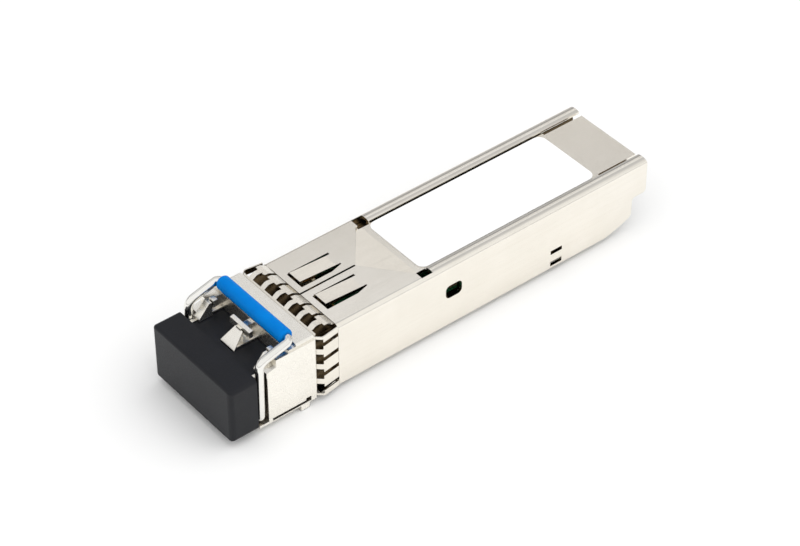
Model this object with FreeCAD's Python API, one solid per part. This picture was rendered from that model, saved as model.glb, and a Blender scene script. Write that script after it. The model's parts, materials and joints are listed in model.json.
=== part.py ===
import FreeCAD, Part
import math
import os

# Small form-factor pluggable optical transceiver with a duplex LC port and a wire bail latch.
#
# Every shape is drawn from one datum: X across, Y rearwards from the port face, Z up from the
# underside of the shell.  At the end each piece is moved so that the origin lies under the
# middle of the whole object.  Millimetres.

os.makedirs("parts", exist_ok=True)

V = FreeCAD.Vector

# ---------------------------------------------------------------- driving dimensions
SHELL_W = 13.4              # across the shell, the width a cage is made for
SHELL_H = 8.5
LENGTH = 56.0               # port face to rear end
COVER_FRONT = 11.05         # front edge of the sheet cover
SHEET = 0.4                 # cover sheet thickness
LATCH_SHOULDER = LENGTH - 45.0
BOARD_Z = 2.25              # underside of the circuit board
BOARD_T = 1.0
BOARD_END = LATCH_SHOULDER + 41.8
BOARD_TOP = BOARD_Z + BOARD_T
LAND = 0.02                          # solder between the board and what stands on it
FLOOR_END = LATCH_SHOULDER + 34.6

NOSE_W = 13.7
NOSE_TOP = 9.0
NOSE_REAR = 7.8             # rear edge of the nose side plates, where the collar begins
PORT_PITCH = 6.25
PORT_AXIS_Z = 4.3
PORT_W = 4.55
PORT_H = 4.7
PORT_DEPTH = 8.5
LEDGE_Z = PORT_AXIS_Z + PORT_H / 2.0

WIRE_R = 0.5
BAIL_W = 13.8               # over the two arms of the bail
BAIL_PIVOT = (0.6, 0.9)     # (y, z)
BAIL_KNEE = (0.75, 8.75)
BAIL_BAR = (4.85, 9.8)      # axis of the cross bar
SLEEVE_R = 0.88
SLEEVE_HALF = 5.8

LATCH_PIVOT = (7.0, 0.8)    # (y, z)
LATCH_PIN_R = 0.3
BOSS_DEPTH = 0.45           # latch boss below the shell
BOSS_SIZE = 2.6

PLUG_FRONT = -3.7           # front and rear faces of the dust plug head
PLUG_REAR = -0.15
PLUG_W = 14.2
PLUG_LOW = 0.2
PLUG_TOP = 7.55

GAP = 0.05                  # room between pieces that rest side by side
RUN = 0.03                  # radial running clearance of a pin in its hole
OVER = 1.0                  # how far a cutting tool runs past the face it opens
SKIN = 0.01                 # thinnest overlap that still opens or joins a face


# ---------------------------------------------------------------- small helpers
def block(x0, x1, y0, y1, z0, z1):
    """Box between two corners."""
    return Part.makeBox(x1 - x0, y1 - y0, z1 - z0, V(x0, y0, z0))


def wide(half, y0, y1, z0, z1):
    """Box centred on the middle plane."""
    return block(-half, half, y0, y1, z0, z1)


def rod_x(x0, x1, y, z, r):
    return Part.makeCylinder(r, x1 - x0, V(x0, y, z), V(1, 0, 0))


def rod_y(x, y0, y1, z, r):
    return Part.makeCylinder(r, y1 - y0, V(x, y0, z), V(0, 1, 0))


def prism_x(x0, x1, points):
    """Outline in (y, z) extruded across."""
    face = Part.Face(Part.makePolygon([V(x0, y, z) for y, z in points + points[:1]]))
    return face.extrude(V(x1 - x0, 0, 0))


def prism_y(y0, y1, points):
    """Outline in (x, z) extruded rearwards."""
    face = Part.Face(Part.makePolygon([V(x, y0, z) for x, z in points + points[:1]]))
    return face.extrude(V(0, y1 - y0, 0))


def prism_z(z0, z1, points):
    """Outline in (x, y) extruded upwards."""
    face = Part.Face(Part.makePolygon([V(x, y, z0) for x, y in points + points[:1]]))
    return face.extrude(V(0, 0, z1 - z0))


def mirrored(shape):
    """The same shape on the other side of the middle plane."""
    return shape.mirror(V(0, 0, 0), V(1, 0, 0))


def both(shape):
    """A shape and its mirror image, as a list."""
    return [shape, mirrored(shape)]


def joined(shapes):
    out = shapes[0].multiFuse(shapes[1:]) if len(shapes) > 1 else shapes[0]
    return out.removeSplitter()


def cut_all(shape, tools):
    return shape.cut(Part.makeCompound(tools)).removeSplitter()


def edges_along(shape, axis, test=lambda mid: True):
    """Straight edges parallel to one axis (0, 1 or 2) whose midpoint passes the test."""
    found = []
    for edge in shape.Edges:
        if edge.Curve.TypeId != "Part::GeomLine":
            continue
        start, end = edge.Vertexes[0].Point, edge.Vertexes[-1].Point
        run = end - start
        if abs(run[axis]) > 0.999 * run.Length and test((start + end) * 0.5):
            found.append(edge)
    return found


# ---------------------------------------------------------------- nose
def port_centres():
    return [-PORT_PITCH / 2.0, PORT_PITCH / 2.0]


FACE_Y = -0.1                        # front face of the port block
CHEEK_IN = SHELL_W / 2.0 - 0.85      # inner face of the rebate that each bail arm lies in
PLATE_FRONT = 1.4                    # front edge of the side plates
EAR = (1.33, 2.7, 7.3, 7.6)          # ear over each side plate: front and rear edge, height at each
SILL = (0.15, 0.3)                   # foot of the nose that runs forward under the bail: y, height
WALL_TOP = 8.5
ROOF_FRONT = 4.4
ROOF_IN = 0.2                        # the roof is this much narrower on each side
ROOF_TOP = 8.72
ROOF_ROUND = 0.25
BRIDGE_FRONT = 5.45                  # front edge of the highest part of the roof
SEAT_HALF = 6.35                     # half width of the seat under the collar
SEAT_LOW = 0.3
SEAT_TOP = 8.35
NECK_START = NOSE_REAR + 0.28        # the fingers are free behind this line
NECK_HALF = 5.8                      # neck that gives the fingers room to flex
NECK_LOW = 0.9
NECK_TOP = 7.75
SPIGOT_END = 12.4                    # rear end of the part that enters the cover
SPIGOT_HALF = 6.25
SPIGOT_TOP = 7.9
OPTICS_ROOM = (5.5, 1.95, 7.5)       # room behind the ports: half width, z0, z1
REAR_WALL = 9.3
BARREL_R = 1.45
STOP_BAR = (2.9, 3.4, 7.85, 8.75)    # catch bar for the plug latches: y0, y1, z0, z1
BAR_HALF = 1.73
BAR_FALL = 0.09                      # fall of the bar's top towards the front
STUB_IN = 4.75                       # inner end of the catch stub over each outer wall
RAMP_FOOT = 1.15                     # front edge of the lead-in ramps
RAMP_HEAD = 8.2
RAMP_HALF = (1.24, 0.66)             # half width of the middle ramp at its foot and head
POST_IN = 4.9                        # inner face of the side posts
POST_STEP = 0.15                     # how far the side ramps stand in front of the middle one
WEB_HALF = 0.4
WEB_LOW = 5.5                        # foot of the notch in the wall between the ports
WALL_IN = PORT_PITCH / 2.0 + PORT_W / 2.0
WALL_HALF = PORT_PITCH / 2.0 - PORT_W / 2.0
LIP = 0.25                           # rims along the inner edges of the ports
LIP_Y = (RAMP_FOOT + 0.5, ROOF_FRONT + 1.1)
LIP_OUT = 6.1

# grooves along the foot of each side plate: x0, y0, y1, z0, z1
PLATE_GROOVE = [(6.0, 1.9, 6.5, 0.12, 0.48), (5.9, 6.4, 7.1, 0.12, 0.75)]
FOOT = (6.2, 6.85, 5.7, 6.85, -0.7)  # foot under each side plate: x0, x1, y0, y1 and its underside
# room for the latch lever, stepped to clear it at both ends of travel: y0, y1, height
POCKET_HALF_W = 2.05
LATCH_POCKET = [(2.7, 6.2, 1.02), (6.1, REAR_WALL, 1.5), (REAR_WALL - GAP, 14.1, 1.9)]
LATCH_PIN_HALF = 3.25


def centre_post():
    """T-shaped post between the ports: lead-in ramp, web and catch bar."""
    def level(half, y, top):
        return Part.makePolygon([V(-half, y, LEDGE_Z), V(half, y, LEDGE_Z), V(half, y, top),
                                 V(-half, y, top), V(-half, y, LEDGE_Z)])

    y0, y1, z0, z1 = STOP_BAR
    foot, head = RAMP_HALF
    sections = [level(foot, RAMP_FOOT, LEDGE_Z + GAP), level(head, y0 - 2.0 * GAP, RAMP_HEAD)]
    web = wide(WEB_HALF, y0 - 4.0 * GAP, ROOF_FRONT + 4.0 * GAP, LEDGE_Z, RAMP_HEAD + 4.0 * GAP)
    bar = prism_x(-BAR_HALF, BAR_HALF, [(y0, z0), (y1, z0), (y1, z1), (y0, z1 - BAR_FALL)])
    return [Part.makeLoft(sections, True), web, bar]


def side_post():
    """Ramp and catch stub on the outer wall of a port, on the +X side."""
    y0, y1, z0, z1 = STOP_BAR
    foot, head = RAMP_FOOT - POST_STEP, y0 - 2.0 * GAP
    ramp = prism_x(POST_IN, CHEEK_IN, [(foot, LEDGE_Z), (head, LEDGE_Z), (head, WALL_TOP),
                                       (head - 0.4, WALL_TOP), (foot, LEDGE_Z + 0.3)])
    stub = block(STUB_IN, WALL_IN + 4.0 * GAP, y0, y1 + 2.0 * GAP, z0, z1)
    return [ramp, stub]


def port_lips():
    """Raised rims along the inner edges of the ports, behind the ramps."""
    y0, y1 = LIP_Y
    z0, z1 = LEDGE_Z - GAP, LEDGE_Z + LIP
    return [wide(WALL_HALF + LIP, y0, y1, z0, z1)] + both(block(WALL_IN - LIP, LIP_OUT, y0, y1, z0, z1))


def nose_housing():
    half = NOSE_W / 2.0
    front = [
        wide(CHEEK_IN, FACE_Y, NOSE_REAR, 0.0, LEDGE_Z),
        wide(half, PLATE_FRONT, NOSE_REAR, 0.0, LEDGE_Z),
        wide(half, SILL[0], NOSE_REAR, 0.0, SILL[1]),
        wide(half - ROOF_IN, ROOF_FRONT, NOSE_REAR, LEDGE_Z - GAP, ROOF_TOP),
        wide(half - ROOF_IN, BRIDGE_FRONT, NOSE_REAR, ROOF_TOP - GAP, NOSE_TOP),
    ]
    front += port_lips()
    x0, x1, y0, y1, z0 = FOOT
    front += both(block(x0, x1, y0, y1, z0, GAP))
    ear_front, ear_rear, low, high = EAR
    for wall in (block(WALL_IN, half, ear_rear - 2.0 * GAP, NOSE_REAR, LEDGE_Z - GAP, WALL_TOP),
                 prism_x(WALL_IN, half, [(ear_front, LEDGE_Z - GAP), (ear_rear, LEDGE_Z - GAP),
                                         (ear_rear, high), (ear_front, low)])):
        front += both(wall)
    front += centre_post()
    for piece in side_post():
        front += both(piece)
    rear = [
        wide(SEAT_HALF, NOSE_REAR - GAP, NECK_START, SEAT_LOW, SEAT_TOP),
        wide(NECK_HALF, NOSE_REAR, COVER_FRONT, NECK_LOW, NECK_TOP),
        wide(SPIGOT_HALF, COVER_FRONT - GAP, SPIGOT_END, 0.0, SPIGOT_TOP),
    ]
    shape = joined(front + rear)
    tools = [wide(POCKET_HALF_W, y0, y1, -OVER, top) for y0, y1, top in LATCH_POCKET]
    for x in port_centres():
        tools.append(block(x - PORT_W / 2.0, x + PORT_W / 2.0, -OVER, PORT_DEPTH,
                           PORT_AXIS_Z - PORT_H / 2.0, LEDGE_Z + SKIN))
        tools.append(rod_y(x, PORT_DEPTH - OVER, REAR_WALL + OVER, PORT_AXIS_Z, BARREL_R + GAP))
    room_half, room_low, room_top = OPTICS_ROOM
    tools.append(wide(room_half, REAR_WALL, SPIGOT_END + OVER, room_low, room_top))
    tools.append(wide(PORT_PITCH / 2.0, FACE_Y - OVER, RAMP_FOOT, WEB_LOW, LEDGE_Z + SKIN))
    for x0, y0, y1, z0, z1 in PLATE_GROOVE:
        tools += both(block(x0, half + OVER, y0, y1, z0, z1))
    tools += both(rod_x(CHEEK_IN - 1.0, half + OVER, BAIL_PIVOT[0], BAIL_PIVOT[1], WIRE_R + RUN))
    y, z = LATCH_PIVOT
    tools.append(rod_x(-LATCH_PIN_HALF - GAP, LATCH_PIN_HALF + GAP, y, z, LATCH_PIN_R + SKIN))
    shape = cut_all(shape, tools)
    side_edges = edges_along(shape, 1, lambda m: abs(abs(m.x) - (half - ROOF_IN)) < SKIN
                             and abs(m.z - NOSE_TOP) < SKIN)
    return shape.makeFillet(ROOF_ROUND, side_edges)


# ---------------------------------------------------------------- grounding collar
COLLAR_T = 0.15
COLLAR_FRONT = NOSE_REAR + GAP
COLLAR_END = COVER_FRONT - 0.1
SLOT_HALF = 0.2
SIDE_SLOT_HALF = 0.28
WINDOW_HALF = 0.71
SIDE_SLOTS = [1.0, 3.15, 5.3, 7.45]
TOP_SLOTS = [-6.3, -4.2, -2.1, 0.0, 2.1, 4.2, 6.3]
SIDE_CREST = (8.75, 0.4)             # (y, height over the shell) of the highest line of the fingers
SIDE_FALL = [(COLLAR_END, 0.1)]      # the fingers' fall from their crest down to the tip
TOP_CREST = (8.95, 0.6)
TOP_FALL = [(10.15, 0.5), (COLLAR_END, 0.05)]
LOW_CREST = (8.5, 0.75)
LOW_FALL = [(COLLAR_END, 0.0)]
CREST_HALF = 0.12
TOP_WINDOW = (NECK_START + 0.22, 9.6)
LOW_WINDOW = (NECK_START, 8.95)


def finger_outline(low, crest, fall):
    """Closed (y, offset) outline of a spring finger in sheet of constant thickness."""
    crest_y, rise = crest
    outer = [(COLLAR_FRONT, low), (NECK_START, low), (crest_y - CREST_HALF, rise - GAP),
             (crest_y + CREST_HALF, rise)] + fall
    return outer + [(y, off - COLLAR_T) for y, off in outer[::-1]]


def emi_collar():
    """One strip of spring fingers on each side, tied together by a ring at the front."""
    reach = SHELL_W
    base = SEAT_HALF + GAP + COLLAR_T
    side = finger_outline(base - SHELL_W / 2.0, SIDE_CREST, SIDE_FALL)
    top = finger_outline(SEAT_TOP + GAP + COLLAR_T - SHELL_H, TOP_CREST, TOP_FALL)
    low = finger_outline(GAP + COLLAR_T - SEAT_LOW, LOW_CREST, LOW_FALL)
    side_strip = prism_z(0.0, SHELL_H, [(SHELL_W / 2.0 + off, y) for y, off in side])
    tools = []
    for z in SIDE_SLOTS:
        tools.append(block(-reach, reach, NECK_START, SIDE_CREST[0], z - WINDOW_HALF, z + WINDOW_HALF))
        tools.append(block(-reach, reach, NECK_START, SHELL_W, z - SIDE_SLOT_HALF, z + SIDE_SLOT_HALF))
    strips = [cut_all(strip, tools) for strip in both(side_strip)]
    for outline, sign, level, window in ((top, 1.0, SHELL_H, TOP_WINDOW), (low, -1.0, 0.0, LOW_WINDOW)):
        strip = prism_x(TOP_SLOTS[0], TOP_SLOTS[-1], [(y, level + sign * off) for y, off in outline])
        start, end = window
        z0, z1 = level - 2.0 * OVER, level + 2.0 * OVER
        tools = []
        for x in TOP_SLOTS:
            tools.append(block(x - WINDOW_HALF, x + WINDOW_HALF, start, end, z0, z1))
            tools.append(block(x - SLOT_HALF, x + SLOT_HALF, start, SHELL_W, z0, z1))
        strips.append(cut_all(strip, tools))
    ring = wide(base, COLLAR_FRONT, NECK_START, SEAT_LOW - GAP - COLLAR_T, SEAT_TOP + GAP + COLLAR_T)
    whole = joined(strips + [ring])
    seat = wide(SEAT_HALF + GAP, NOSE_REAR, COVER_FRONT, SEAT_LOW - GAP, SEAT_TOP + GAP)
    return whole.cut(seat)


# ---------------------------------------------------------------- sheet cover
SIDE_X = SHELL_W / 2.0
BEND_R = 0.6
POCKET_HALF = 5.1
POCKET_FRONT = 23.4
POCKET_DROP = 0.4
APEX_Y = 18.6                        # point of the V-shaped ramp down into the pocket
RAMP_SIDE_Y = 22.7
CREASE = 0.06                        # step along the front edges of the ramp
HOLE = (26.05, 28.35, 3.85, 5.65)    # snap hole in the sides: y0, y1, z0, z1
HOLE_ROUND = 0.6
SNAP_Y = (41.5, 43.2)                # slits beside the snap strip
SNAP_SLITS = [(0.3, 0.95), (2.0, 2.55)]
STEP_Y = 53.9                        # rear edge of the lower part of the sides
STEP_Z = 3.9
STEP_BEVEL = 0.3
RISE = [(50.0, 0.0), (52.2, 0.6), (STEP_Y - STEP_BEVEL, 1.2), (STEP_Y, 1.6)]  # lower edge towards the rear
TONGUES = [(-3.45, -0.75), (1.15, 3.85)]
TONGUE_Y = (12.05, 17.6)
TONGUE_LIFT = 0.3


def cover_skin():
    """Folded sheet: both sides and the top in one, with rounded bends."""
    inner = SIDE_X - SHEET
    outer = wide(SIDE_X, COVER_FRONT, LENGTH, 0.0, SHELL_H)
    bends = edges_along(outer, 1, lambda m: m.z > SHELL_H - GAP)
    outer = outer.makeFillet(BEND_R, bends)
    core = wide(inner, COVER_FRONT - OVER, LENGTH + OVER, -OVER, SHELL_H - SHEET)
    bends = edges_along(core, 1, lambda m: m.z > 0.0)
    return outer.cut(core.makeFillet(BEND_R - SHEET + 0.1, bends))


def pocket_prism(z0, z1):
    """Plan of the label pocket with its pointed front."""
    return prism_z(z0, z1, [(0.0, APEX_Y), (POCKET_HALF, RAMP_SIDE_Y), (POCKET_HALF, LENGTH + OVER),
                            (-POCKET_HALF, LENGTH + OVER), (-POCKET_HALF, RAMP_SIDE_Y)])


def floor_layer(drop):
    """Everything in the pocket's plan that lies above the pocket floor lowered by drop."""
    high = SHELL_H + OVER
    profile = [(APEX_Y - OVER, SHELL_H - CREASE - drop), (APEX_Y, SHELL_H - CREASE - drop),
               (POCKET_FRONT, SHELL_H - POCKET_DROP - drop), (LENGTH + OVER, SHELL_H - POCKET_DROP - drop),
               (LENGTH + OVER, high), (APEX_Y - OVER, high)]
    return prism_x(-SHELL_W, SHELL_W, profile)


def side_openings():
    """Snap holes, slits and the stepped rear ends of both sides."""
    reach = SHELL_W
    y0, y1, z0, z1 = HOLE
    hole = block(-reach, reach, y0, y1, z0, z1)
    hole = hole.makeFillet(HOLE_ROUND, edges_along(hole, 0))
    tools = [hole]
    for z_low, z_high in SNAP_SLITS:
        tools.append(block(-reach, reach, SNAP_Y[0], SNAP_Y[1], z_low, z_high))
    high = STEP_Z + STEP_BEVEL
    rear = [(STEP_Y, STEP_Z - STEP_BEVEL), (STEP_Y + STEP_BEVEL, STEP_Z), (LENGTH - STEP_BEVEL, STEP_Z),
            (LENGTH, high), (LENGTH + OVER, high), (LENGTH + OVER, -OVER)]
    tools.append(prism_x(-reach, reach, [(RISE[0][0], -OVER)] + RISE + rear))
    return tools


NOTCH = (4.9, 6.3, 22.95, 24.5)      # relief notches beside the pocket: x0, x1, y0, y1
SEAM_HALF = 0.13                     # half width of the seam in the front zone
RAIL_X = 5.75                        # middle line and radius of the crowned rails beside the pocket
RAIL_R = 1.6
RAIL_GAPS = [(0.15, 24.7, 50.2), (0.45, 50.2, LENGTH + OVER)]  # sheared gaps by the rails: width, y0, y1
TONGUE_SLIT = 0.2
SLIT_OUT = 0.12                      # the slit on the -X side of each tongue starts this much further out
TONGUE_WEDGE = 0.6                   # width of the slit on the +X side of each tongue
TONGUE_ROOT = TONGUE_Y[1] - 0.6
WEDGE_TAPER = 1.6                    # length over which the wide slit narrows at its rear end
WALL_STRIP = 0.35                    # thickness of the wall beside the pocket


def tongue_slits():
    """U-shaped cuts round the two tongues."""
    z0, z1 = SHELL_H - OVER, SHELL_H + OVER
    y0, y1 = TONGUE_Y
    tools = []
    for x0, x1 in TONGUES:
        wedge_in = x1 - TONGUE_WEDGE
        tools.append(block(x0, x1, y0 - TONGUE_SLIT, y1 - WEDGE_TAPER, z0, z1))
        tools.append(block(x0, wedge_in, y0, TONGUE_ROOT, z0, z1))
        tools.append(block(x0 - SLIT_OUT, x0 + TONGUE_SLIT, y0, y1, z0, z1))
        tools.append(prism_z(z0, z1, [(wedge_in, y0), (x1, y0), (x1, y1 - WEDGE_TAPER),
                                      (wedge_in + TONGUE_SLIT, y1), (wedge_in, y1)]))
    return tools


def tongues():
    """Strips left between the slits, with their free ends lifted."""
    y0 = TONGUE_Y[0]
    low = SHELL_H - SHEET
    rear = TONGUE_ROOT + GAP
    return [prism_x(x0 + TONGUE_SLIT, x1 - TONGUE_WEDGE, [
        (y0, SHELL_H + TONGUE_LIFT), (TONGUE_ROOT, SHELL_H), (rear, SHELL_H),
        (rear, low), (TONGUE_ROOT, low), (y0, low + TONGUE_LIFT)]) for x0, x1 in TONGUES]


def rail_crowns():
    """What has to go to leave both rails rounded across their tops."""
    level = SHELL_H - RAIL_R
    over_rail = block(POCKET_HALF, SIDE_X + OVER, NOTCH[3], LENGTH + OVER, level, SHELL_H + OVER)
    under = block(POCKET_HALF, SIDE_X + OVER, NOTCH[3], LENGTH + OVER, level, SHELL_H - POCKET_DROP)
    return both(over_rail.cut(under).cut(rod_y(RAIL_X, NOTCH[3] - OVER, LENGTH + 2.0 * OVER, level, RAIL_R)))


def top_cover():
    pocket = pocket_prism(0.0, SHELL_H + OVER)
    above = floor_layer(0.0)
    floor = pocket.common(floor_layer(SHEET)).cut(above).common(wide(SHELL_W, 0.0, LENGTH, 0.0, SHELL_H))
    walls = wide(POCKET_HALF + WALL_STRIP, RAMP_SIDE_Y, NOTCH[3] + WALL_STRIP, SHELL_H - POCKET_DROP - SHEET,
                 SHELL_H - SHEET)
    walls = walls.cut(wide(POCKET_HALF, 0.0, LENGTH, 0.0, SHELL_H))
    body = joined([cover_skin().cut(pocket.common(above)), floor, walls])
    x0, x1, y0, y1 = NOTCH
    tools = side_openings() + tongue_slits()
    tools += both(block(x0, x1, y0, y1, SHELL_H - POCKET_DROP - SHEET, SHELL_H + OVER))
    tools.append(wide(SEAM_HALF, COVER_FRONT - OVER, APEX_Y, SHELL_H - OVER, SHELL_H + OVER))
    tools += rail_crowns()
    for width, y_start, y_end in RAIL_GAPS:
        tools += both(block(POCKET_HALF - width, POCKET_HALF, y_start, y_end, SHELL_H - OVER, SHELL_H))
    return joined([cut_all(body, tools)] + tongues())


LABEL_HALF = 4.85
LABEL_Y = (24.1, 49.75)
LABEL_T = 0.12
LABEL_ROUND = 1.0


def label():
    """Blank label lying in the pocket."""
    floor = SHELL_H - POCKET_DROP
    sheet = wide(LABEL_HALF, LABEL_Y[0], LABEL_Y[1], floor, floor + LABEL_T)
    return sheet.makeFillet(LABEL_ROUND, edges_along(sheet, 2))


# ---------------------------------------------------------------- base tray
TRAY_HALF = SIDE_X - SHEET - GAP
TRAY_FRONT = SPIGOT_END + GAP
TRAY_FLOOR = 0.9
TRAY_WALL = 0.7
TRAY_WALL_IN = TRAY_HALF - TRAY_WALL
TRAY_WALL_END = 49.0
TRAY_WALL_TOP = 7.5
TRAY_TAIL = (LENGTH - 0.5, STEP_Z + 0.7)  # rear end and underside of the walls' rear part
LEDGE_W = 0.55
LEDGE_Y = (15.0, 45.0)
WINDOW_ROOM = 0.3                    # the tray's windows are this much larger than the snap holes


def base_tray():
    """Floor and side walls inside the cover, with ledges that carry the board."""
    wall_in, wall_end = TRAY_WALL_IN, TRAY_WALL_END
    tail_end, tail_low = TRAY_TAIL
    shape = joined([wide(TRAY_HALF, TRAY_FRONT, FLOOR_END, 0.0, TRAY_FLOOR)]
                   + both(block(wall_in, TRAY_HALF, TRAY_FRONT, wall_end, TRAY_FLOOR, TRAY_WALL_TOP))
                   + both(block(wall_in, TRAY_HALF, FLOOR_END, wall_end, 0.0, TRAY_FLOOR))
                   + both(block(wall_in, TRAY_HALF, wall_end - OVER, tail_end, tail_low, TRAY_WALL_TOP))
                   + both(block(wall_in - LEDGE_W, wall_in, *LEDGE_Y, TRAY_FLOOR, BOARD_Z)))
    tools = [wide(POCKET_HALF_W, TRAY_FRONT - OVER, LATCH_POCKET[-1][1], -OVER, TRAY_FLOOR + OVER)]
    y0, y1, z0, z1 = HOLE
    room = WINDOW_ROOM
    tools.append(wide(SHELL_W, y0 - room, y1 + room, z0 - room, z1 + room))
    tools += both(block(TRAY_HALF - LEDGE_W, SHELL_W, SNAP_Y[0] - room, SNAP_Y[1] + room,
                        SNAP_SLITS[0][0] - room, SNAP_SLITS[1][1] + room))
    return cut_all(shape, tools)


# ---------------------------------------------------------------- bail and sleeve
TURN_IN = 0.85                       # how far the ends of the bail reach into the nose
BENDS = [0.55, 1.0, 0.58]            # bend radii at the pivot, the knee and the cross bar
SLEEVE_ROUND = 0.3


def bail_path():
    """Middle line of the bail, from one inturned end over the cross bar to the other."""
    x = BAIL_W / 2.0 - WIRE_R
    pivot_y, pivot_z = BAIL_PIVOT
    knee_y, knee_z = BAIL_KNEE
    bar_y, bar_z = BAIL_BAR
    half = [V(CHEEK_IN - TURN_IN, pivot_y, pivot_z), V(x, pivot_y, pivot_z), V(x, knee_y, knee_z),
            V(x, bar_y, bar_z)]
    other = [V(-p.x, p.y, p.z) for p in half[::-1]]
    return half + other, BENDS + BENDS[::-1]


def rounded_wire(points, radii):
    """Straight runs joined by tangent arcs."""
    edges = []
    start = points[0]
    for here, after, before, radius in zip(points[1:-1], points[2:], points[:-2], radii):
        into = (before - here).normalize()
        out = (after - here).normalize()
        half = into.getAngle(out) / 2.0
        setback = radius / math.tan(half)
        mid = (into + out).normalize()
        centre = here + mid * (radius / math.sin(half))
        first = here + into * setback
        last = here + out * setback
        edges.append(Part.LineSegment(start, first).toShape())
        edges.append(Part.Arc(first, centre - mid * radius, last).toShape())
        start = last
    edges.append(Part.LineSegment(start, points[-1]).toShape())
    return Part.Wire(edges)


def bail_wire():
    points, radii = bail_path()
    path = rounded_wire(points, radii)
    section = Part.Wire(Part.makeCircle(WIRE_R, points[0], V(1, 0, 0)))
    shape = path.makePipeShell([section], True, True)
    return shape if shape.Solids else Part.Solid(shape)


def bail_sleeve():
    y, z = BAIL_BAR
    tube = rod_x(-SLEEVE_HALF, SLEEVE_HALF, y, z, SLEEVE_R)
    tube = tube.makeFillet(SLEEVE_ROUND, [e for e in tube.Edges if e.Curve.TypeId == "Part::GeomCircle"])
    return tube.cut(rod_x(-SHELL_W, SHELL_W, y, z, WIRE_R + SKIN))


# ---------------------------------------------------------------- latch
LEVER_LOW = 0.45
LEVER_TOP = 0.95
LEVER_FRONT = 3.0
LEVER_HALF = BOSS_SIZE / 2.0 + 0.6
HUB_R = 0.55
BOSS_FACE = 0.35                     # flat underside of the boss behind its locking face
SPRING_T = 0.15
SPRING_HALF = 0.9
SPRING_Y = (9.5, 10.6, 12.9, 13.3)   # rear of the roof seat, bends and free end


def latch_lever():
    """Flat lever with a hub on its pin and the ramped boss that hooks the cage."""
    y, z = LATCH_PIVOT
    boss_end = LATCH_SHOULDER + BOSS_SIZE
    half = BOSS_SIZE / 2.0
    shape = joined([
        wide(LEVER_HALF, LEVER_FRONT, boss_end + 2.0 * GAP, LEVER_LOW, LEVER_TOP),
        rod_x(-LEVER_HALF, LEVER_HALF, y, z, HUB_R),
        prism_x(-half, half, [(LATCH_SHOULDER, LEVER_TOP), (LATCH_SHOULDER, -BOSS_DEPTH),
                              (LATCH_SHOULDER + BOSS_FACE, -BOSS_DEPTH), (boss_end, LEVER_LOW),
                              (boss_end, LEVER_TOP)]),
    ])
    return shape.cut(rod_x(-SHELL_W, SHELL_W, y, z, LATCH_PIN_R + RUN))


def latch_pin():
    y, z = LATCH_PIVOT
    return rod_x(-LATCH_PIN_HALF, LATCH_PIN_HALF, y, z, LATCH_PIN_R)


def latch_spring():
    """Leaf bent down from the pocket roof on to the lever."""
    roof, low = LATCH_POCKET[-1][2] - GAP, LEVER_TOP + GAP
    t = SPRING_T
    y0, y1, y2, y3 = SPRING_Y
    return prism_x(-SPRING_HALF, SPRING_HALF, [(y0, roof), (y1, roof), (y2, low + t), (y3, low + t),
                                               (y3, low), (y2 - GAP, low), (y1 - GAP, roof - t),
                                               (y0, roof - t)])


# ---------------------------------------------------------------- dust plug
PLUG_EASE = 0.16                     # play of a prong in its port
PRONG_W = PORT_W - PLUG_EASE
PRONG_H = PORT_H - PLUG_EASE
PRONG_ROOT = -0.5
PRONG_LONG = 7.4
PRONG_TIP = 0.35
PLUG_BORE_R = BARREL_R + 0.12
HEAD_ROUND = 0.6
RIM_ROUND = 0.35


def dust_plug():
    """One soft moulding: a rounded head and two hollow prongs."""
    head = wide(PLUG_W / 2.0, PLUG_FRONT, PLUG_REAR, PLUG_LOW, PLUG_TOP)
    corners = edges_along(head, 1) + edges_along(head, 2, lambda m: m.y < PLUG_REAR - OVER)
    head = head.makeFillet(HEAD_ROUND, corners)
    boxes = [(e, e.BoundBox) for e in head.Edges]
    rim = [e for e, box in boxes if box.YMax < PLUG_FRONT + OVER and box.YMin < PLUG_FRONT + SKIN]
    head = head.makeFillet(RIM_ROUND, rim)
    shapes = [head]
    for x in port_centres():
        prong = block(x - PRONG_W / 2.0, x + PRONG_W / 2.0, PRONG_ROOT, PRONG_LONG,
                      PORT_AXIS_Z - PRONG_H / 2.0, PORT_AXIS_Z + PRONG_H / 2.0)
        tip = [e for e in prong.Edges if e.BoundBox.YMin > PRONG_LONG - SKIN]
        prong = prong.makeChamfer(PRONG_TIP, tip)
        shapes.append(prong)
    shapes.append(wide(PORT_PITCH / 2.0, PRONG_ROOT, RAMP_FOOT - 2.0 * GAP, WEB_LOW + 2.0 * GAP,
                       PORT_AXIS_Z + PRONG_H / 2.0))
    bores = [rod_y(x, BARREL_FRONT - PRONG_TIP, PRONG_LONG + OVER, PORT_AXIS_Z, PLUG_BORE_R)
             for x in port_centres()]
    return cut_all(joined(shapes), bores)


# ---------------------------------------------------------------- optical subassemblies
BARREL_FRONT = 4.6
BARREL_END = 11.5
BARREL_BORE = (0.95, 9.8)            # radius and rear end of the bore
FLANGE_R = 2.2
FLANGE_END = REAR_WALL + 0.85
FERRULE_R = 0.93
FERRULE_Y = (4.8, 9.75)
FERRULE_BORE = (0.626, 8.2)          # radius and rear end of the bore for the plug's ferrule
CAN_R = 2.3
CAN_RIM = 0.4                        # length of the wider rims at both ends of a can
CAN_STEP = 0.35
LEAD_CIRCLE = 0.95                   # radius of the circle that the four leads stand on
LEAD_R = 0.16
LEAD_LONG = 0.75
CLAMP = (5.4, 10.3, 11.1, 2.15, 7.3)  # half width, y0, y1, z0, z1
FLEX_HALF = 1.9
FLEX_T = 0.12
FLEX_TOP = PORT_AXIS_Z + 1.6
FLEX_FOOT = 3.0                      # how far the flex reaches rearwards along the board
FLEX_BEND = 1.0


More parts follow.
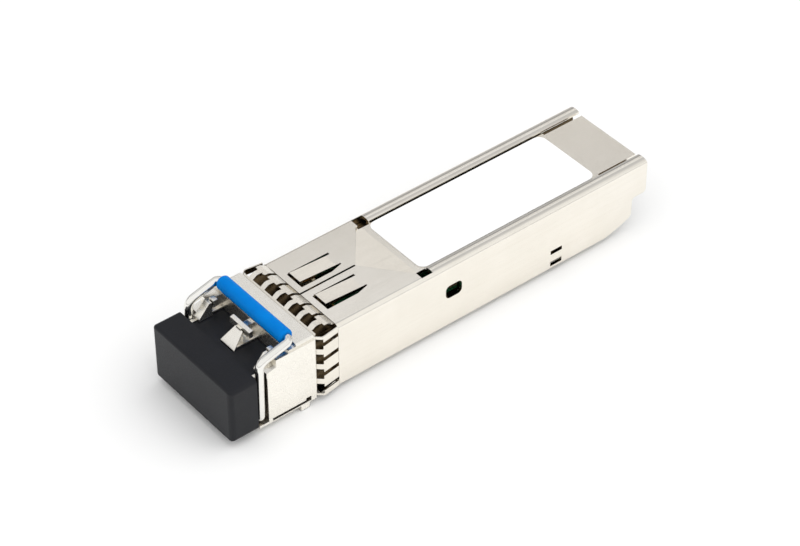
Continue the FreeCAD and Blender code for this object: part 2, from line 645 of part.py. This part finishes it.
def lead_places(x):
    """The four leads' places (x, z) on their circle."""
    places = []
    for quarter in range(4):
        angle = math.radians(45.0 + 90.0 * quarter)
        places.append((x + math.cos(angle) * LEAD_CIRCLE, PORT_AXIS_Z + math.sin(angle) * LEAD_CIRCLE))
    return places


def optics(x, can_long):
    """Receptacle barrel, ceramic ferrule sleeve and the can welded to its rear."""
    z = PORT_AXIS_Z
    bore_r, bore_end = BARREL_BORE
    flange = rod_y(x, REAR_WALL + GAP, FLANGE_END, z, FLANGE_R)
    barrel = joined([rod_y(x, BARREL_FRONT, BARREL_END, z, BARREL_R), flange])
    barrel = barrel.cut(rod_y(x, BARREL_FRONT - OVER, bore_end, z, bore_r))
    bore_r, bore_end = FERRULE_BORE
    ferrule = rod_y(x, FERRULE_Y[0], FERRULE_Y[1], z, FERRULE_R)
    ferrule = ferrule.cut(rod_y(x, FERRULE_Y[0] - OVER, bore_end, z, bore_r))
    y0 = BARREL_END + GAP
    y1 = y0 + can_long
    can = [rod_y(x, y0, y0 + CAN_RIM, z, CAN_R), rod_y(x, y0, y1, z, CAN_R - CAN_STEP),
           rod_y(x, y1 - CAN_RIM, y1, z, CAN_R)]
    leads = [rod_y(lead_x, y1 - GAP, y1 + LEAD_LONG, lead_z, LEAD_R) for lead_x, lead_z in lead_places(x)]
    return barrel, ferrule, joined(can + leads)


def flex(x, can_long):
    """Flexible print soldered to the can's leads and folded down on to the board."""
    y = BARREL_END + can_long + 3.0 * GAP
    t = FLEX_T
    low = BOARD_TOP + LAND
    bend = FLEX_BEND
    sheet = prism_x(x - FLEX_HALF, x + FLEX_HALF, [
        (y, FLEX_TOP), (y + t, FLEX_TOP), (y + t, low + bend), (y + bend, low + t), (y + FLEX_FOOT, low + t),
        (y + FLEX_FOOT, low), (y + bend - GAP, low), (y, low + bend - GAP)])
    holes = [rod_y(lead_x, y - OVER, y + OVER, lead_z, LEAD_R + LAND) for lead_x, lead_z in lead_places(x)]
    return cut_all(sheet, holes)


def optics_clamp():
    """Plate behind both barrel flanges."""
    half, y0, y1, z0, z1 = CLAMP
    holes = [rod_y(x, y0 - OVER, y1 + OVER, PORT_AXIS_Z, BARREL_R + GAP) for x in port_centres()]
    return cut_all(wide(half, y0, y1, z0, z1), holes)


# ---------------------------------------------------------------- circuit board and what is on it
BOARD_HALF = TRAY_WALL_IN - 2.0 * GAP
BOARD_Y = (16.2, 46.0, 46.8)         # front edge, start and end of the narrowing towards the edge connector
EDGE_HALF = 4.6
EDGE_CORNER = 0.4
EDGE_BEVEL = 0.3
CONTACTS = 10
CONTACT_PITCH = 0.8
CONTACT_HALF = 0.28
CONTACT_LONG = 3.2
CONTACT_INSET = (0.45, 0.85)         # from the board's end to a long and to a short finger
LONG_FINGERS = (0, 4, 5, 9)
PAD_T = 0.05
CHIP_BEVEL = 0.12
LEG_PITCH = 0.8
LEG_HALF = 0.14
LEG_OUT = 0.18
LEG_T = 0.2
CAP_INSET = 0.03                     # the end caps of a small part stand out this far round its body


def circuit_board():
    front, shoulder, neck = BOARD_Y
    half = [(BOARD_HALF, front), (BOARD_HALF, shoulder), (EDGE_HALF, neck), (EDGE_HALF, BOARD_END - EDGE_CORNER),
            (EDGE_HALF - EDGE_CORNER, BOARD_END)]
    board = prism_z(BOARD_Z, BOARD_TOP, half + [(-x, y) for x, y in half[::-1]])
    bevels = [e for e in board.Edges if e.BoundBox.YMin > BOARD_END - SKIN and e.BoundBox.XLength > OVER]
    return board.makeChamfer(EDGE_BEVEL, bevels)


def edge_contacts(z0):
    """Ten gold fingers; the ground and supply fingers are longer than the signal fingers."""
    pads = []
    for i in range(CONTACTS):
        x = (i - (CONTACTS - 1) / 2.0) * CONTACT_PITCH
        rear = BOARD_END - CONTACT_INSET[0 if i in LONG_FINGERS else 1]
        pads.append(block(x - CONTACT_HALF, x + CONTACT_HALF, BOARD_END - CONTACT_LONG, rear, z0, z0 + PAD_T))
    return Part.makeCompound(pads)


def chip(x, y, size, height):
    """Moulded package with chamfered top and solder lands showing round its foot."""
    half = size / 2.0
    low = BOARD_TOP + LAND
    body = block(x - half, x + half, y - half, y + half, low, low + height)
    rim = [e for e in body.Edges if e.BoundBox.ZMin > low + height - SKIN]
    body = body.makeChamfer(CHIP_BEVEL, rim)
    reach = half + LEG_OUT
    count = int(size / LEG_PITCH)
    lands = []
    for i in range(count):
        s = (i - (count - 1) / 2.0) * LEG_PITCH
        lands.append(block(x + s - LEG_HALF, x + s + LEG_HALF, y - reach, y + reach, low, low + LEG_T))
        lands.append(block(x - reach, x + reach, y + s - LEG_HALF, y + s + LEG_HALF, low, low + LEG_T))
    return joined([body] + lands)


def small_parts(places, long, across, high):
    """Identical chip components: a body with a cap at each end, one solid each."""
    solids = []
    low = BOARD_TOP + LAND
    half, reach = across / 2.0, long / 2.0
    slim = half - CAP_INSET
    for x, y in places:
        body = block(x - slim, x + slim, y - reach, y + reach, low + LAND, low + high - CAP_INSET)
        caps = [block(x - half, x + half, y - reach, y - reach / 2.0, low, low + high),
                block(x - half, x + half, y + reach / 2.0, y + reach, low, low + high)]
        solids.append(joined([body] + caps))
    return Part.makeCompound(solids)


def row_of(x, y, count, pitch):
    return [(x, y + i * pitch) for i in range(count)]


# ---------------------------------------------------------------- the object
TRANSMIT_X, RECEIVE_X = port_centres()
TRANSMIT_LONG, RECEIVE_LONG = 3.6, 2.8


def all_pieces():
    pieces = {
        "nose_housing": nose_housing(),
        "emi_collar": emi_collar(),
        "top_cover": top_cover(),
        "base_tray": base_tray(),
        "label": label(),
        "bail_wire": bail_wire(),
        "bail_sleeve": bail_sleeve(),
        "latch_lever": latch_lever(),
        "latch_pin": latch_pin(),
        "latch_spring": latch_spring(),
        "dust_plug": dust_plug(),
        "optics_clamp": optics_clamp(),
        "circuit_board": circuit_board(),
        "edge_contacts_top": edge_contacts(BOARD_TOP + SKIN),
        "edge_contacts_bottom": edge_contacts(BOARD_Z - SKIN - PAD_T),
        "driver_chip": chip(-2.6, 24.0, 4.0, 0.85),
        "amplifier_chip": chip(2.9, 23.2, 3.2, 0.85),
        "microcontroller": chip(0.0, 33.0, 5.0, 0.9),
        "memory_chip": chip(-3.2, 40.0, 2.4, 0.7),
        "capacitors": small_parts(row_of(-4.7, 28.5, 6, 1.6) + row_of(4.7, 27.0, 7, 1.6), 1.0, 0.5, 0.5),
        "resistors": small_parts(row_of(3.4, 38.5, 5, 1.5) + row_of(1.9, 38.5, 5, 1.5), 1.0, 0.5, 0.35),
        "ferrite_beads": small_parts(row_of(0.2, 38.6, 3, 2.2), 1.6, 0.8, 0.8),
        "thermal_pad": wide(3.0, 19.0, 27.0, TRAY_FLOOR + LAND, BOARD_Z - LAND),
    }
    for side, x, can_long in (("transmitter", TRANSMIT_X, TRANSMIT_LONG),
                              ("receiver", RECEIVE_X, RECEIVE_LONG)):
        barrel, ferrule, can = optics(x, can_long)
        pieces[side + "_barrel"] = barrel
        pieces[side + "_ferrule"] = ferrule
        pieces[side + "_can"] = can
        pieces[side + "_flex"] = flex(x, can_long)
    return pieces


LOWEST = -LOW_CREST[1]
MIDDLE_Y = (PLUG_FRONT + LENGTH) / 2.0
TO_ORIGIN = V(0.0, -MIDDLE_Y, -LOWEST)

for name, shape in all_pieces().items():
    shape.translate(TO_ORIGIN)
    shape.exportStep("parts/" + name + ".step")
    bounds = shape.BoundBox
    corners = (bounds.XMin, bounds.YMin, bounds.ZMin, bounds.XMax, bounds.YMax, bounds.ZMax)
    print(name, shape.isValid(), len(shape.Solids), round(shape.Volume, 2), [round(v, 2) for v in corners])
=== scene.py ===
"""Looks of the pluggable optical transceiver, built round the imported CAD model.  Metres."""
import json
import math

import bpy
from mathutils import Matrix, Vector


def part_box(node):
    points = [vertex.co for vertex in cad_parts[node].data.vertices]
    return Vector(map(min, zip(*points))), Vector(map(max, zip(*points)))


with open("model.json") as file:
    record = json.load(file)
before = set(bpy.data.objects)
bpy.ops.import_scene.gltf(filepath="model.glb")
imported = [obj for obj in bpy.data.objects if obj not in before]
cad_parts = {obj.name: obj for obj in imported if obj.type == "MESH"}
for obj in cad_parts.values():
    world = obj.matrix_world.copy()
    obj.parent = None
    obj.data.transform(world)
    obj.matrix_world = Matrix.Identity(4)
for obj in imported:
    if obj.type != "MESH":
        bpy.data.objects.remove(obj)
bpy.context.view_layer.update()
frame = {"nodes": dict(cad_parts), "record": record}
nodes = frame["nodes"]

MM = 0.001
SHELL_LONG = 56.0                    # port face to rear end, mm
cover_low, cover_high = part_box("top_cover")


def at(x, y, z):
    """Point given in millimetres from the middle plane, port face and shell underside."""
    return Vector((x * MM, cover_high.y - SHELL_LONG * MM + y * MM, cover_low.z + z * MM))


def bearing(azimuth, elevation):
    """Direction from the module towards a compass bearing in degrees; azimuth 0 is in front of the ports."""
    a, e = math.radians(azimuth), math.radians(elevation)
    return Vector((math.sin(a) * math.cos(e), -math.cos(a) * math.cos(e), math.sin(e)))


# ---------------------------------------------------------------- node helpers
def new_material(name):
    material = bpy.data.materials.new(name)
    material.use_nodes = True
    tree = material.node_tree
    shader = tree.nodes["Principled BSDF"]
    return material, tree, shader


def add(tree, kind, inputs=None, **settings):
    """New node with its properties and unlinked inputs set."""
    node = tree.nodes.new(kind)
    for key, value in settings.items():
        setattr(node, key, value)
    for key, value in (inputs or {}).items():
        node.inputs[key].default_value = value
    return node


def place(tree, stretch=(1.0, 1.0, 1.0)):
    """Object coordinates in millimetres, stretched per axis."""
    coords = add(tree, "ShaderNodeTexCoord")
    scale = add(tree, "ShaderNodeMapping", {"Scale": [s / MM for s in stretch]})
    tree.links.new(coords.outputs["Object"], scale.inputs["Vector"])
    return scale.outputs["Vector"]


def noise(tree, vector, scale, detail=4.0, roughness=0.55, distortion=0.0):
    node = add(tree, "ShaderNodeTexNoise",
               {"Scale": scale, "Detail": detail, "Roughness": roughness, "Distortion": distortion})
    tree.links.new(vector, node.inputs["Vector"])
    return node.outputs["Fac"]


def ramp(tree, factor, stops):
    """Colour ramp; each stop is (place, value) or (place, (r, g, b))."""
    node = add(tree, "ShaderNodeValToRGB")
    elements = node.color_ramp.elements
    while len(elements) < len(stops):
        elements.new(0.5)
    for element, (where, value) in zip(elements, stops):
        element.position = where
        rgb = value if isinstance(value, tuple) else (value, value, value)
        element.color = (*rgb, 1.0)
    tree.links.new(factor, node.inputs["Fac"])
    return node.outputs["Color"]


def mixed(tree, factor, first, second, blend="MIX"):
    """Mix two colours, each a socket or a tuple; factor is a socket or a number."""
    node = add(tree, "ShaderNodeMix", data_type="RGBA", blend_type=blend)
    factor_in, first_in, second_in = node.inputs[0], node.inputs[6], node.inputs[7]
    for socket, value in ((factor_in, factor), (first_in, first), (second_in, second)):
        if isinstance(value, tuple):
            socket.default_value = (*value, 1.0)
        elif isinstance(value, float):
            socket.default_value = value
        else:
            tree.links.new(value, socket)
    return node.outputs[2]


def relief(tree, shader, layers, edge=0.0):
    """Chain of bumps on a normal that may be rounded at edges; edge is that radius in mm.

    Each layer is (height socket, depth in mm, strength).
    """
    normal = None
    if edge:
        normal = add(tree, "ShaderNodeBevel", {"Radius": edge * MM}, samples=6).outputs["Normal"]
    for height, depth, strength in layers:
        node = add(tree, "ShaderNodeBump", {"Strength": strength, "Distance": depth * MM})
        tree.links.new(height, node.inputs["Height"])
        if normal:
            tree.links.new(normal, node.inputs["Normal"])
        normal = node.outputs["Normal"]
    tree.links.new(normal, shader.inputs["Normal"])


# ---------------------------------------------------------------- kinds of finish
PAINTED_SHADE = (0.11, 0.08, 0.045)          # colour painted as shade in deep gaps and hollows
GAP_REACH = 0.8                      # how far a point looks round for walls that shade it, mm
SHADE_FADE = 0.05                     # half the width of the step from bright to painted shade, mm
RUB_STRETCH = (1.6, 0.06, 1.6)       # handling marks are long and run along the module


def plated(name, dark, light, rough, grain, grain_depth, edge, stretch=(1.0, 1.0, 1.0), marks=0.5,
           shade_openness=0.62, shaded_beyond=None):
    """Nickel-plated metal: cloudy tone, fine grain, faint rub marks, and painted shade in narrow gaps.

    dark and light bound the tone, grain is per mm, and grain_depth and edge are in mm.  A point that
    sees less than shade_openness of its surroundings gets painted shade.  shaded_beyond is an axis and a
    place on it in object millimetres, beyond which the colour is painted shade.
    """
    material, tree, shader = new_material(name)
    plain = place(tree)
    cloud = noise(tree, plain, 0.16, detail=3.0, roughness=0.6, distortion=0.3)
    fine = noise(tree, place(tree, stretch), grain, detail=6.0, roughness=0.65)
    rubs = noise(tree, place(tree, RUB_STRETCH), 1.3, detail=5.0, roughness=0.7)
    tone = ramp(tree, cloud, [(0.3, dark), (0.7, light)])
    tint = ramp(tree, rubs, [(0.42, (1.0, 1.0, 1.0)), (0.75, (0.94, 0.93, 0.91))])
    worn = mixed(tree, marks, tone, tint, "MULTIPLY")
    # painted shade: the colour darkens where walls close round a point
    hollow = add(tree, "ShaderNodeAmbientOcclusion", {"Distance": GAP_REACH * MM}, samples=8)
    shade = ramp(tree, hollow.outputs["AO"], [(shade_openness / 3.0, PAINTED_SHADE), (shade_openness, (1.0, 1.0, 1.0))])
    # painted shade: the whole surface beyond a given place, such as a groove or the inside of the shell,
    # takes the shade colour
    if shaded_beyond:
        axis, start = shaded_beyond
        along = add(tree, "ShaderNodeSeparateXYZ")
        tree.links.new(plain, along.inputs["Vector"])
        beyond = add(tree, "ShaderNodeMapRange",
                     {"From Min": start - SHADE_FADE, "From Max": start + SHADE_FADE})
        tree.links.new(along.outputs[axis], beyond.inputs["Value"])
        shade = mixed(tree, beyond.outputs["Result"], shade, PAINTED_SHADE)
    tree.links.new(mixed(tree, 1.0, worn, shade, "MULTIPLY"), shader.inputs["Base Color"])
    shine = ramp(tree, fine, [(0.3, rough * 0.8), (0.7, rough * 1.25)])
    streak = ramp(tree, rubs, [(0.45, 0.85), (0.8, 1.3)])
    tree.links.new(mixed(tree, marks, shine, streak, "MULTIPLY"), shader.inputs["Roughness"])
    shader.inputs["Metallic"].default_value = 1.0
    relief(tree, shader, [(fine, grain_depth, 0.35), (cloud, 0.02, 0.12)], edge)
    return material


def moulded(name, low, high, rough, grain, depth, edge, subsurface=0.0, specular=0.5):
    """Moulded plastic or rubber: slightly uneven colour and a fine spark-eroded skin.

    low and high bound the colour, grain is per mm, and depth and edge are in mm.
    """
    material, tree, shader = new_material(name)
    plain = place(tree)
    cloud = noise(tree, plain, 0.35, roughness=0.6, distortion=0.4)
    skin = noise(tree, plain, grain, detail=3.0, roughness=0.6)
    tree.links.new(ramp(tree, cloud, [(0.3, low), (0.7, high)]), shader.inputs["Base Color"])
    tree.links.new(ramp(tree, skin, [(0.3, rough * 0.85), (0.7, rough * 1.15)]), shader.inputs["Roughness"])
    shader.inputs["Specular IOR Level"].default_value = specular
    if subsurface:
        shader.inputs["Subsurface Weight"].default_value = subsurface
        shader.inputs["Subsurface Radius"].default_value = (0.1, 0.5, 1.0)
        shader.inputs["Subsurface Scale"].default_value = 0.8 * MM
    relief(tree, shader, [(skin, depth, 0.5), (cloud, 0.05, 0.1)], edge)
    return material


def paper(name):
    """Blank self-adhesive label with a faint fibrous surface."""
    material, tree, shader = new_material(name)
    fibre = noise(tree, place(tree, (1.0, 2.2, 1.0)), 3.5, detail=8.0, roughness=0.7, distortion=0.8)
    tone = ramp(tree, fibre, [(0.25, (0.90, 0.90, 0.895)), (0.75, (0.95, 0.95, 0.945))])
    tree.links.new(tone, shader.inputs["Base Color"])
    tree.links.new(ramp(tree, fibre, [(0.3, 0.42), (0.7, 0.55)]), shader.inputs["Roughness"])
    relief(tree, shader, [(fibre, 0.006, 0.3)], edge=0.03)
    return material


def laminate(name):
    """Solder mask over copper tracks: lighter green lines along and across the board."""
    black, white = (0.0, 0.0, 0.0, 1.0), (1.0, 1.0, 1.0, 1.0)
    material, tree, shader = new_material(name)
    tracks = add(tree, "ShaderNodeTexBrick",
                 {"Scale": 1.0, "Mortar Size": 0.07, "Brick Width": 3.1, "Row Height": 0.42,
                  "Color1": black, "Color2": black, "Mortar": white},
                 offset=0.37, squash=1.0)
    tree.links.new(place(tree), tracks.inputs["Vector"])
    cloud = noise(tree, place(tree), 0.5)
    mask = ramp(tree, cloud, [(0.3, (0.010, 0.090, 0.035)), (0.7, (0.016, 0.125, 0.050))])
    green = mixed(tree, tracks.outputs["Color"], mask, (0.035, 0.23, 0.09))
    tree.links.new(green, shader.inputs["Base Color"])
    tree.links.new(ramp(tree, cloud, [(0.3, 0.28), (0.7, 0.40)]), shader.inputs["Roughness"])
    weave = noise(tree, place(tree), 14.0)
    relief(tree, shader, [(tracks.outputs["Color"], 0.03, 0.5), (weave, 0.01, 0.2)], edge=0.03)
    return material


# ---------------------------------------------------------------- finishes of this module
NECK_Y = 8.09                        # the groove under the collar starts here, mm from the port face; the nose housing beyond it is painted as shade
TRAY_UNSHADED = 0.3                      # height up to which the tray keeps its plated colour; above it the tray is painted as shade, mm


def place_on(node, axis, point):
    """Axis name and a point's coordinate on it, in the node's own millimetres."""
    local = nodes[node].matrix_world.inverted() @ point
    return axis, getattr(local, axis.lower()) / MM


PLATED = {
    # nose housing: painted shade in gaps and beyond the collar's groove
    "nickel_casting": dict(dark=(0.91, 0.88, 0.81), light=(0.95, 0.92, 0.855), rough=0.29, grain=9.0,
                           grain_depth=0.010, edge=0.07, marks=0.35, shade_openness=0.42,
                           shaded_beyond=place_on("nose_housing", "Y", at(0.0, NECK_Y, 0.0))),
    # tray: painted shade in gaps and everywhere above its lowest strip
    "tray_casting": dict(dark=(0.84, 0.805, 0.73), light=(0.90, 0.865, 0.79), rough=0.30, grain=9.0,
                         grain_depth=0.012, edge=0.06, marks=0.35, shade_openness=0.42,
                         shaded_beyond=place_on("base_tray", "Z", at(0.0, 0.0, TRAY_UNSHADED))),
    "nickel_sheet": dict(dark=(0.865, 0.825, 0.745), light=(0.91, 0.87, 0.795), rough=0.14, grain=12.0,
                         grain_depth=0.003, edge=0.02, stretch=(1.0, 0.25, 1.0)),
    "spring_sheet": dict(dark=(0.84, 0.80, 0.72), light=(0.91, 0.87, 0.79), rough=0.16, grain=12.0,
                         grain_depth=0.004, edge=0.02),
    "bail_steel": dict(dark=(0.84, 0.825, 0.78), light=(0.92, 0.91, 0.87), rough=0.13, grain=8.0,
                       grain_depth=0.003, edge=0.0, stretch=(0.6, 0.6, 0.6), marks=0.3),
    "latch_steel": dict(dark=(0.60, 0.59, 0.565), light=(0.72, 0.71, 0.685), rough=0.32, grain=11.0,
                        grain_depth=0.008, edge=0.04, stretch=(1.0, 0.2, 1.0)),
    "can_metal": dict(dark=(0.66, 0.58, 0.40), light=(0.80, 0.73, 0.56), rough=0.28, grain=10.0,
                      grain_depth=0.006, edge=0.05),
    "gold": dict(dark=(0.80, 0.56, 0.20), light=(0.90, 0.67, 0.30), rough=0.24, grain=16.0,
                 grain_depth=0.004, edge=0.02, stretch=(1.0, 0.3, 1.0)),
}

MOULDED = {
    "blue_sleeve": dict(low=(0.0, 0.175, 0.58), high=(0.0, 0.205, 0.65), rough=0.50, grain=5.0,
                        depth=0.012, edge=0.0, subsurface=0.1, specular=0.05),
    "black_plug": dict(low=(0.0024, 0.003, 0.0055), high=(0.0042, 0.005, 0.008), rough=0.50, grain=7.5,
                       depth=0.02, edge=0.0, specular=0.33),
    "ceramic_white": dict(low=(0.86, 0.84, 0.79), high=(0.92, 0.905, 0.86), rough=0.22, grain=9.0,
                          depth=0.003, edge=0.02, subsurface=0.15),
    "flex_amber": dict(low=(0.42, 0.17, 0.025), high=(0.55, 0.25, 0.05), rough=0.30, grain=6.0,
                       depth=0.006, edge=0.0),
    "chip_black": dict(low=(0.016, 0.016, 0.018), high=(0.028, 0.028, 0.031), rough=0.50, grain=15.0,
                       depth=0.012, edge=0.03),
    "capacitor_tan": dict(low=(0.36, 0.23, 0.13), high=(0.46, 0.31, 0.19), rough=0.40, grain=12.0,
                          depth=0.01, edge=0.03),
    "resistor_black": dict(low=(0.03, 0.03, 0.034), high=(0.05, 0.05, 0.055), rough=0.34, grain=12.0,
                           depth=0.008, edge=0.03),
    "bead_grey": dict(low=(0.12, 0.12, 0.13), high=(0.19, 0.19, 0.20), rough=0.45, grain=12.0,
                      depth=0.01, edge=0.04),
    "pad_grey": dict(low=(0.34, 0.43, 0.50), high=(0.42, 0.51, 0.58), rough=0.65, grain=6.0,
                     depth=0.03, edge=0.05),
}


def dress_nodes():
    """Give every CAD node the finish of its slot; the tray has one of its own, with painted shade above its
    lowest strip.
    """
    finishes = {name: plated(name, **look) for name, look in PLATED.items()}
    finishes.update({name: moulded(name, **look) for name, look in MOULDED.items()})
    finishes["white_label"] = paper("white_label")
    finishes["board_green"] = laminate("board_green")
    for part in frame["record"]["subparts"]:
        slot = "tray_casting" if part["node"] == "base_tray" else part["material_slot"]
        mesh = nodes[part["node"]].data
        mesh.materials.clear()
        mesh.materials.append(finishes[slot])


# ---------------------------------------------------------------- floor
FLOOR_HALF = 1.5                     # half the side of the square floor, m
FLOOR_DROP = 0.02                    # gap that keeps the floor off the module's lowest faces, mm


def floor_sheet():
    corners = [(-1.0, -1.0), (1.0, -1.0), (1.0, 1.0), (-1.0, 1.0)]
    mesh = bpy.data.meshes.new("floor")
    mesh.from_pydata([(x * FLOOR_HALF, y * FLOOR_HALF, 0.0) for x, y in corners], [], [(0, 1, 2, 3)])
    sheet = bpy.data.objects.new("floor", mesh)
    sheet.location.z = -FLOOR_DROP * MM
    bpy.context.scene.collection.objects.link(sheet)
    material, tree, shader = new_material("floor_white")
    shader.inputs["Base Color"].default_value = (0.93, 0.93, 0.925, 1.0)
    shader.inputs["Roughness"].default_value = 0.9
    shader.inputs["Specular IOR Level"].default_value = 0.1
    mesh.materials.append(material)


# ---------------------------------------------------------------- light
KEY_BEARING = (140.0, 62.0)          # azimuth and elevation of the softbox, degrees
KEY_AWAY, KEY_SIZE = 0.8, 1.2        # its distance and diameter, m
KEY_POWER = 3.3                      # W

SKY_RISE = (0.25, 0.0, 0.97)         # the far sky's bands change along this direction
FAR_SIDE = (-0.75, 0.66, 0.0)        # and lie on this side, away from the camera

NEAR_SKY = [                         # by height above the floor
    (0.02, 0.62), (0.10, 0.62),                                              # skirting
    (0.17, 1.0),                                                             # open sky
]
FAR_SKY = [                          # by height along SKY_RISE
    (0.0, (0.52, 0.52, 0.53)), (0.13, (0.52, 0.52, 0.53)),                   # wall
    (0.18, (0.20, 0.205, 0.22)), (0.225, (0.20, 0.205, 0.22)),               # line at the rails' inner edges
    (0.27, (0.44, 0.445, 0.455)),
    (0.335, (0.80, 0.79, 0.785)), (0.412, (0.80, 0.79, 0.785)),              # facet in front of the label
    (0.432, (1.3, 1.29, 1.28)),                                              # tongues
    (0.447, (0.58, 0.56, 0.54)), (0.458, (0.33, 0.31, 0.29)), (0.471, (0.38, 0.36, 0.34)),    # rear floor
    (0.484, (0.84, 0.845, 0.86)), (0.495, (0.94, 0.95, 0.98)), (0.60, (0.93, 0.94, 0.96)),    # level faces
    (0.64, (0.58, 0.58, 0.59)), (0.78, (0.62, 0.62, 0.63)),                  # band along the rails' crowns
    (0.85, (1.0, 1.0, 1.0)),                                                 # open sky
]


def key_light():
    """Round softbox without a mirror image in the metal."""
    back = bearing(*KEY_BEARING)
    light = bpy.data.lights.new("key", "AREA")
    light.shape = "DISK"
    light.size = KEY_SIZE
    light.energy = KEY_POWER
    lamp = bpy.data.objects.new("key", light)
    lamp.location = back * KEY_AWAY
    lamp.rotation_mode = "QUATERNION"
    lamp.rotation_quaternion = back.to_track_quat("Z", "Y")
    lamp.visible_glossy = False
    bpy.context.scene.collection.objects.link(lamp)


def studio():
    """White room: a low grey skirting on the near side, bands of light and shade on the far side."""
    world = bpy.data.worlds.new("studio")
    world.use_nodes = True
    tree = world.node_tree
    direction = add(tree, "ShaderNodeTexCoord").outputs["Generated"]
    height = add(tree, "ShaderNodeVectorMath", {1: SKY_RISE}, operation="DOT_PRODUCT")
    tree.links.new(direction, height.inputs[0])
    far_sky = ramp(tree, height.outputs["Value"], FAR_SKY)
    rise = add(tree, "ShaderNodeSeparateXYZ")
    tree.links.new(direction, rise.inputs["Vector"])
    near_sky = ramp(tree, rise.outputs["Z"], NEAR_SKY)
    side = add(tree, "ShaderNodeVectorMath", {1: FAR_SIDE}, operation="DOT_PRODUCT")
    tree.links.new(direction, side.inputs[0])
    blend = ramp(tree, side.outputs["Value"], [(0.0, 0.0), (0.25, 1.0)])
    background = tree.nodes["Background"]
    tree.links.new(mixed(tree, blend, near_sky, far_sky), background.inputs["Color"])
    background.inputs["Strength"].default_value = 1.0
    bpy.context.scene.world = world


# ---------------------------------------------------------------- camera
EYE_BEARING = (51.2855, 41.0615)     # azimuth and elevation, degrees
EYE_ROLL = -0.2652                   # degrees
EYE_AWAY = 312.511                   # from the point it is set up on, mm
EYE_ASIDE, EYE_ABOVE = 1.299, 0.967  # how far the picture's middle is off that point, mm
EYE_TARGET = (0.0, 26.6, 4.25)       # that point, near the shell's middle, mm
EYE_LENS, EYE_SENSOR = 125.57, 36.0  # mm


def camera():
    """Camera at the photograph's angle."""
    back, roll = bearing(*EYE_BEARING), math.radians(EYE_ROLL)
    level = bearing(EYE_BEARING[0] + 90.0, 0.0)
    upward = back.cross(level)
    right = level * math.cos(roll) + upward * math.sin(roll)
    up = upward * math.cos(roll) - level * math.sin(roll)
    data = bpy.data.cameras.new("camera")
    data.sensor_width = EYE_SENSOR
    data.lens = EYE_LENS
    data.clip_start, data.clip_end = 0.01, 10.0
    eye = bpy.data.objects.new("camera", data)
    axes = Matrix((right, up, back)).transposed().to_4x4()
    axes.translation = at(*EYE_TARGET) + (back * EYE_AWAY - right * EYE_ASIDE - up * EYE_ABOVE) * MM
    eye.matrix_world = axes
    bpy.context.scene.collection.objects.link(eye)
    bpy.context.scene.camera = eye


dress_nodes()
floor_sheet()
studio()
key_light()
bpy.context.scene.view_settings.view_transform = "Standard"
camera()
